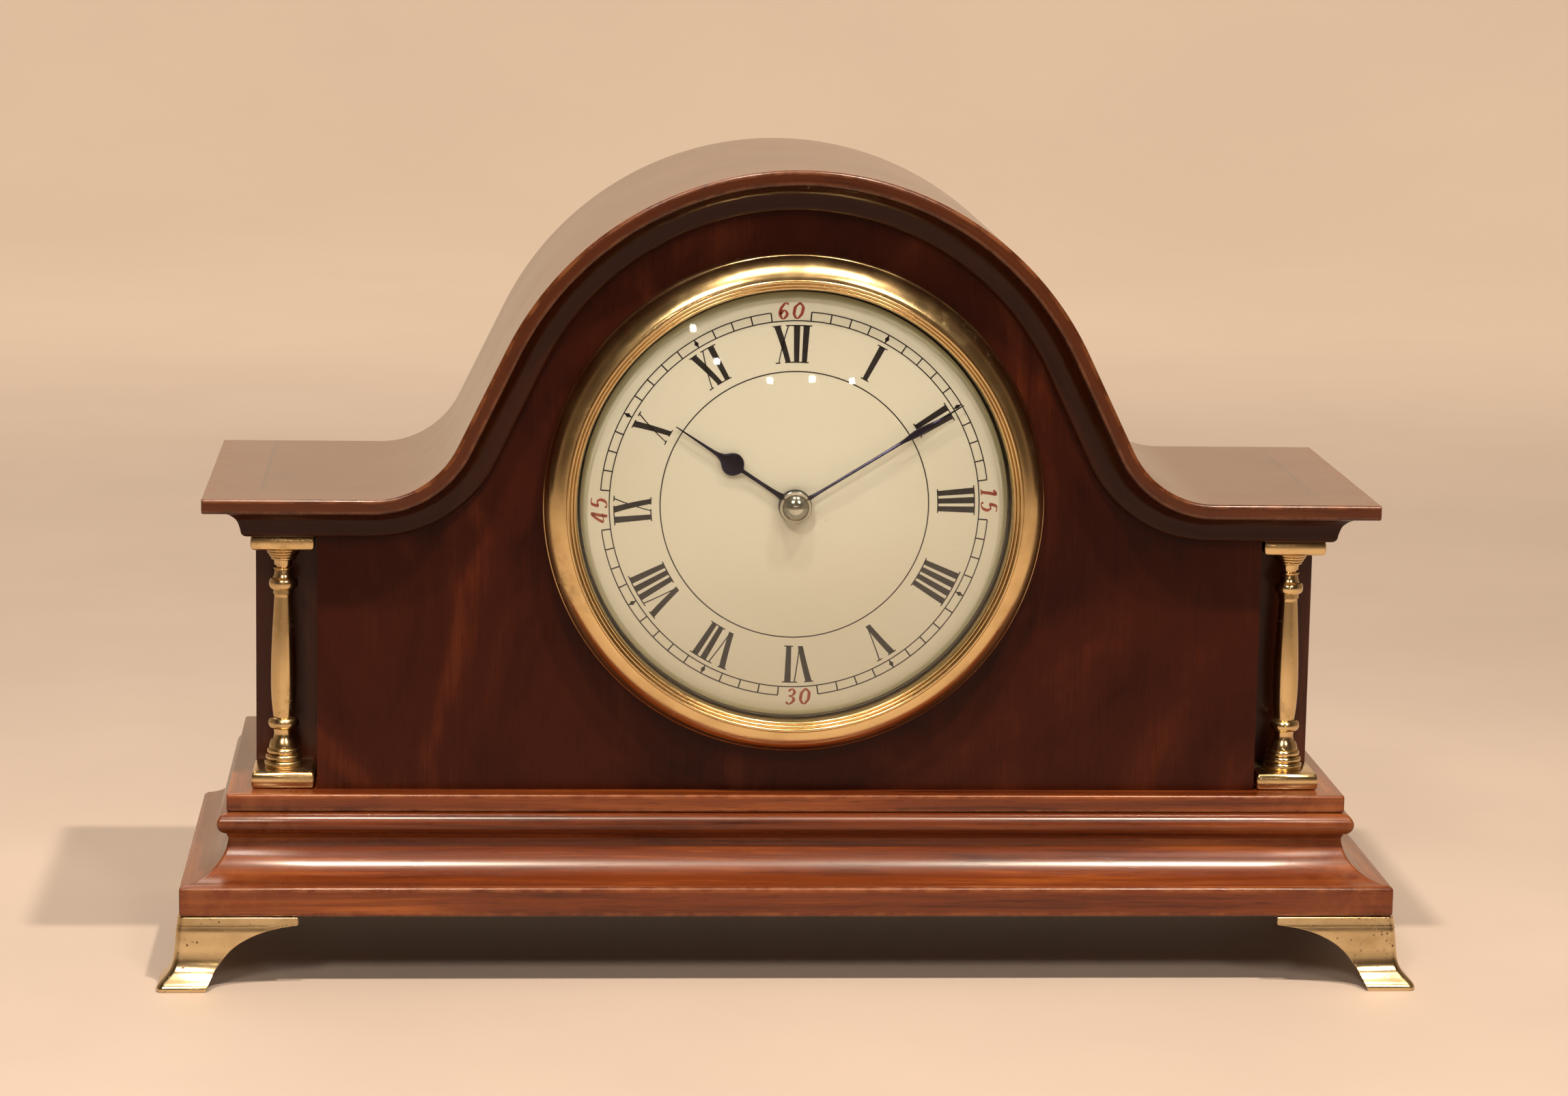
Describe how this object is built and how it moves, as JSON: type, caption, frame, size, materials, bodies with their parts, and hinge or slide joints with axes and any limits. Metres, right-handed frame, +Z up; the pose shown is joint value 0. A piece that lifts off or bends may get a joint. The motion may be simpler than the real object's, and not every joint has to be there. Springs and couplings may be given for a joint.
{
  "type": "mantel clock",
  "caption": "Arched wooden mantel timepiece with brass columns, bracket feet and a round glazed dial, wound and set through a hinged rear door.",
  "frame": {"origin": "on the surface that the feet stand on, under the middle of the clock's bounding box", "axes": "+Z up, -Y out of the dial towards the viewer, +X to the viewer's right"},
  "size_m": [0.2576, 0.0956, 0.1668],
  "materials": {
    "dark_mahogany": "very dark red-brown, French polished",
    "mahogany": "red-brown veneer, French polished",
    "base_mahogany": "orange-red-brown, streaked, polished, worn at the edges",
    "polished_brass": "polished with patches of patina",
    "movement_brass": "fine brushed, lacquered",
    "steel": "polished",
    "blued_steel": "heat-blued, nearly black",
    "dial_enamel": "cream vitreous enamel with printed numerals",
    "glass": "clear convex glass"
  },
  "bodies": {
    "case": {"base_board": "base_mahogany", "base_moulding": "base_mahogany", "base_top_plate": "base_mahogany", "front_panel": "dark_mahogany", "back_panel": "mahogany", "roof_board": "mahogany", "cornice_front": "dark_mahogany", "cornice_left": "dark_mahogany", "cornice_right": "dark_mahogany", "left_side_panel": "mahogany", "right_side_panel": "mahogany", "left_column_capital": "polished_brass", "left_column_shaft": "polished_brass", "left_column_plinth": "polished_brass", "right_column_capital": "polished_brass", "right_column_shaft": "polished_brass", "right_column_plinth": "polished_brass", "front_left_foot": "polished_brass", "front_right_foot": "polished_brass", "back_left_foot": "polished_brass", "back_right_foot": "polished_brass", "bezel": "polished_brass", "rear_bezel": "polished_brass", "left_strap": "movement_brass", "right_strap": "movement_brass", "front_plate": "movement_brass", "back_plate": "movement_brass", "pillar_1": "movement_brass", "pillar_2": "movement_brass", "pillar_3": "movement_brass", "pillar_4": "movement_brass", "platform_plate": "movement_brass", "balance_cock": "movement_brass", "rear_door_pin": "steel", "bezel_glass": "glass", "dial": "dial_enamel"},
    "centre_arbor": {"centre_wheel": "movement_brass", "cannon_pinion": "steel", "minute_hand": "blued_steel", "hand_boss": "steel", "setting_knob": "polished_brass"},
    "hour_pipe": {"hour_wheel": "movement_brass", "hour_hand": "blued_steel"},
    "minute_wheel": {"minute_wheel": "movement_brass"},
    "second_wheel": {"second_wheel": "movement_brass"},
    "barrel": {"mainspring_barrel": "movement_brass", "barrel_cap": "movement_brass", "mainspring": "blued_steel"},
    "third_wheel": {"third_wheel": "movement_brass"},
    "fourth_wheel": {"fourth_wheel": "movement_brass"},
    "escape_wheel": {"escape_wheel": "movement_brass"},
    "winding_arbor": {"barrel_arbor": "steel", "ratchet_wheel": "steel", "winding_key": "polished_brass"},
    "click": {"click": "steel"},
    "pallet_lever": {"pallet_lever": "steel"},
    "balance": {"balance_wheel": "movement_brass", "hairspring": "blued_steel"},
    "regulator": {"regulator": "steel"},
    "rear_door": {"rear_door": "polished_brass"}
  },
  "joints": [
    {"name": "minute_hand_turn", "type": "hinge", "parent": "case", "child": "centre_arbor", "pos_m": [0, 0, 0.0981], "axis": [0, 1, 0], "continuous": true},
    {"name": "hour_hand_turn", "type": "hinge", "parent": "case", "child": "hour_pipe", "pos_m": [0, 0, 0.0981], "axis": [0, 1, 0], "continuous": true},
    {"name": "minute_wheel_turn", "type": "hinge", "parent": "case", "child": "minute_wheel", "pos_m": [0.00274, 0, 0.09058], "axis": [0, 1, 0], "continuous": true},
    {"name": "second_wheel_turn", "type": "hinge", "parent": "case", "child": "second_wheel", "pos_m": [0.00546, 0, 0.08445], "axis": [0, 1, 0], "continuous": true},
    {"name": "barrel_turn", "type": "hinge", "parent": "case", "child": "barrel", "pos_m": [-0.01344, 0, 0.08467], "axis": [0, 1, 0], "continuous": true},
    {"name": "third_wheel_turn", "type": "hinge", "parent": "case", "child": "third_wheel", "pos_m": [0.01218, 0, 0.10253], "axis": [0, 1, 0], "continuous": true},
    {"name": "fourth_wheel_turn", "type": "hinge", "parent": "case", "child": "fourth_wheel", "pos_m": [0.00449, 0, 0.11023], "axis": [0, 1, 0], "continuous": true},
    {"name": "escape_wheel_turn", "type": "hinge", "parent": "case", "child": "escape_wheel", "pos_m": [0.00288, 0, 0.11933], "axis": [0, 1, 0], "continuous": true},
    {"name": "winding", "type": "hinge", "parent": "case", "child": "winding_arbor", "pos_m": [-0.01344, 0, 0.08467], "axis": [0, -1, 0], "range_deg": [0, 1920], "deforming": ["mainspring"]},
    {"name": "click_lift", "type": "hinge", "parent": "case", "child": "click", "pos_m": [-0.01644, 0, 0.09706], "axis": [0, 1, 0], "range_deg": [0, 12], "stiffness_Nm_per_rad": 0.0002},
    {"name": "pallet_lever_swing", "type": "hinge", "parent": "case", "child": "pallet_lever", "pos_m": [-0.00313, 0, 0.12151], "axis": [0, 1, 0], "range_deg": [-5, 5]},
    {"name": "balance_swing", "type": "hinge", "parent": "case", "child": "balance", "pos_m": [-0.0099, 0, 0.12398], "axis": [0, 1, 0], "range_deg": [-270, 270], "stiffness_Nm_per_rad": 0.0000057, "deforming": ["hairspring"]},
    {"name": "regulator_turn", "type": "hinge", "parent": "case", "child": "regulator", "pos_m": [-0.0099, 0, 0.12398], "axis": [0, 1, 0], "range_deg": [-20, 20]},
    {"name": "rear_door_swing", "type": "hinge", "parent": "case", "child": "rear_door", "pos_m": [-0.0446, 0.046, 0.0981], "axis": [0, 0, 1], "range_deg": [0, 110]}
  ],
  "couplings": [
    {"joint": "hour_hand_turn", "follows": "minute_hand_turn", "ratio": 0.083333},
    {"joint": "minute_wheel_turn", "follows": "minute_hand_turn", "ratio": -0.33333},
    {"joint": "second_wheel_turn", "follows": "minute_hand_turn", "ratio": -0.16667},
    {"joint": "barrel_turn", "follows": "minute_hand_turn", "ratio": 0.027778},
    {"joint": "third_wheel_turn", "follows": "minute_hand_turn", "ratio": -8},
    {"joint": "fourth_wheel_turn", "follows": "minute_hand_turn", "ratio": 60},
    {"joint": "escape_wheel_turn", "follows": "minute_hand_turn", "ratio": -600}
  ]
}
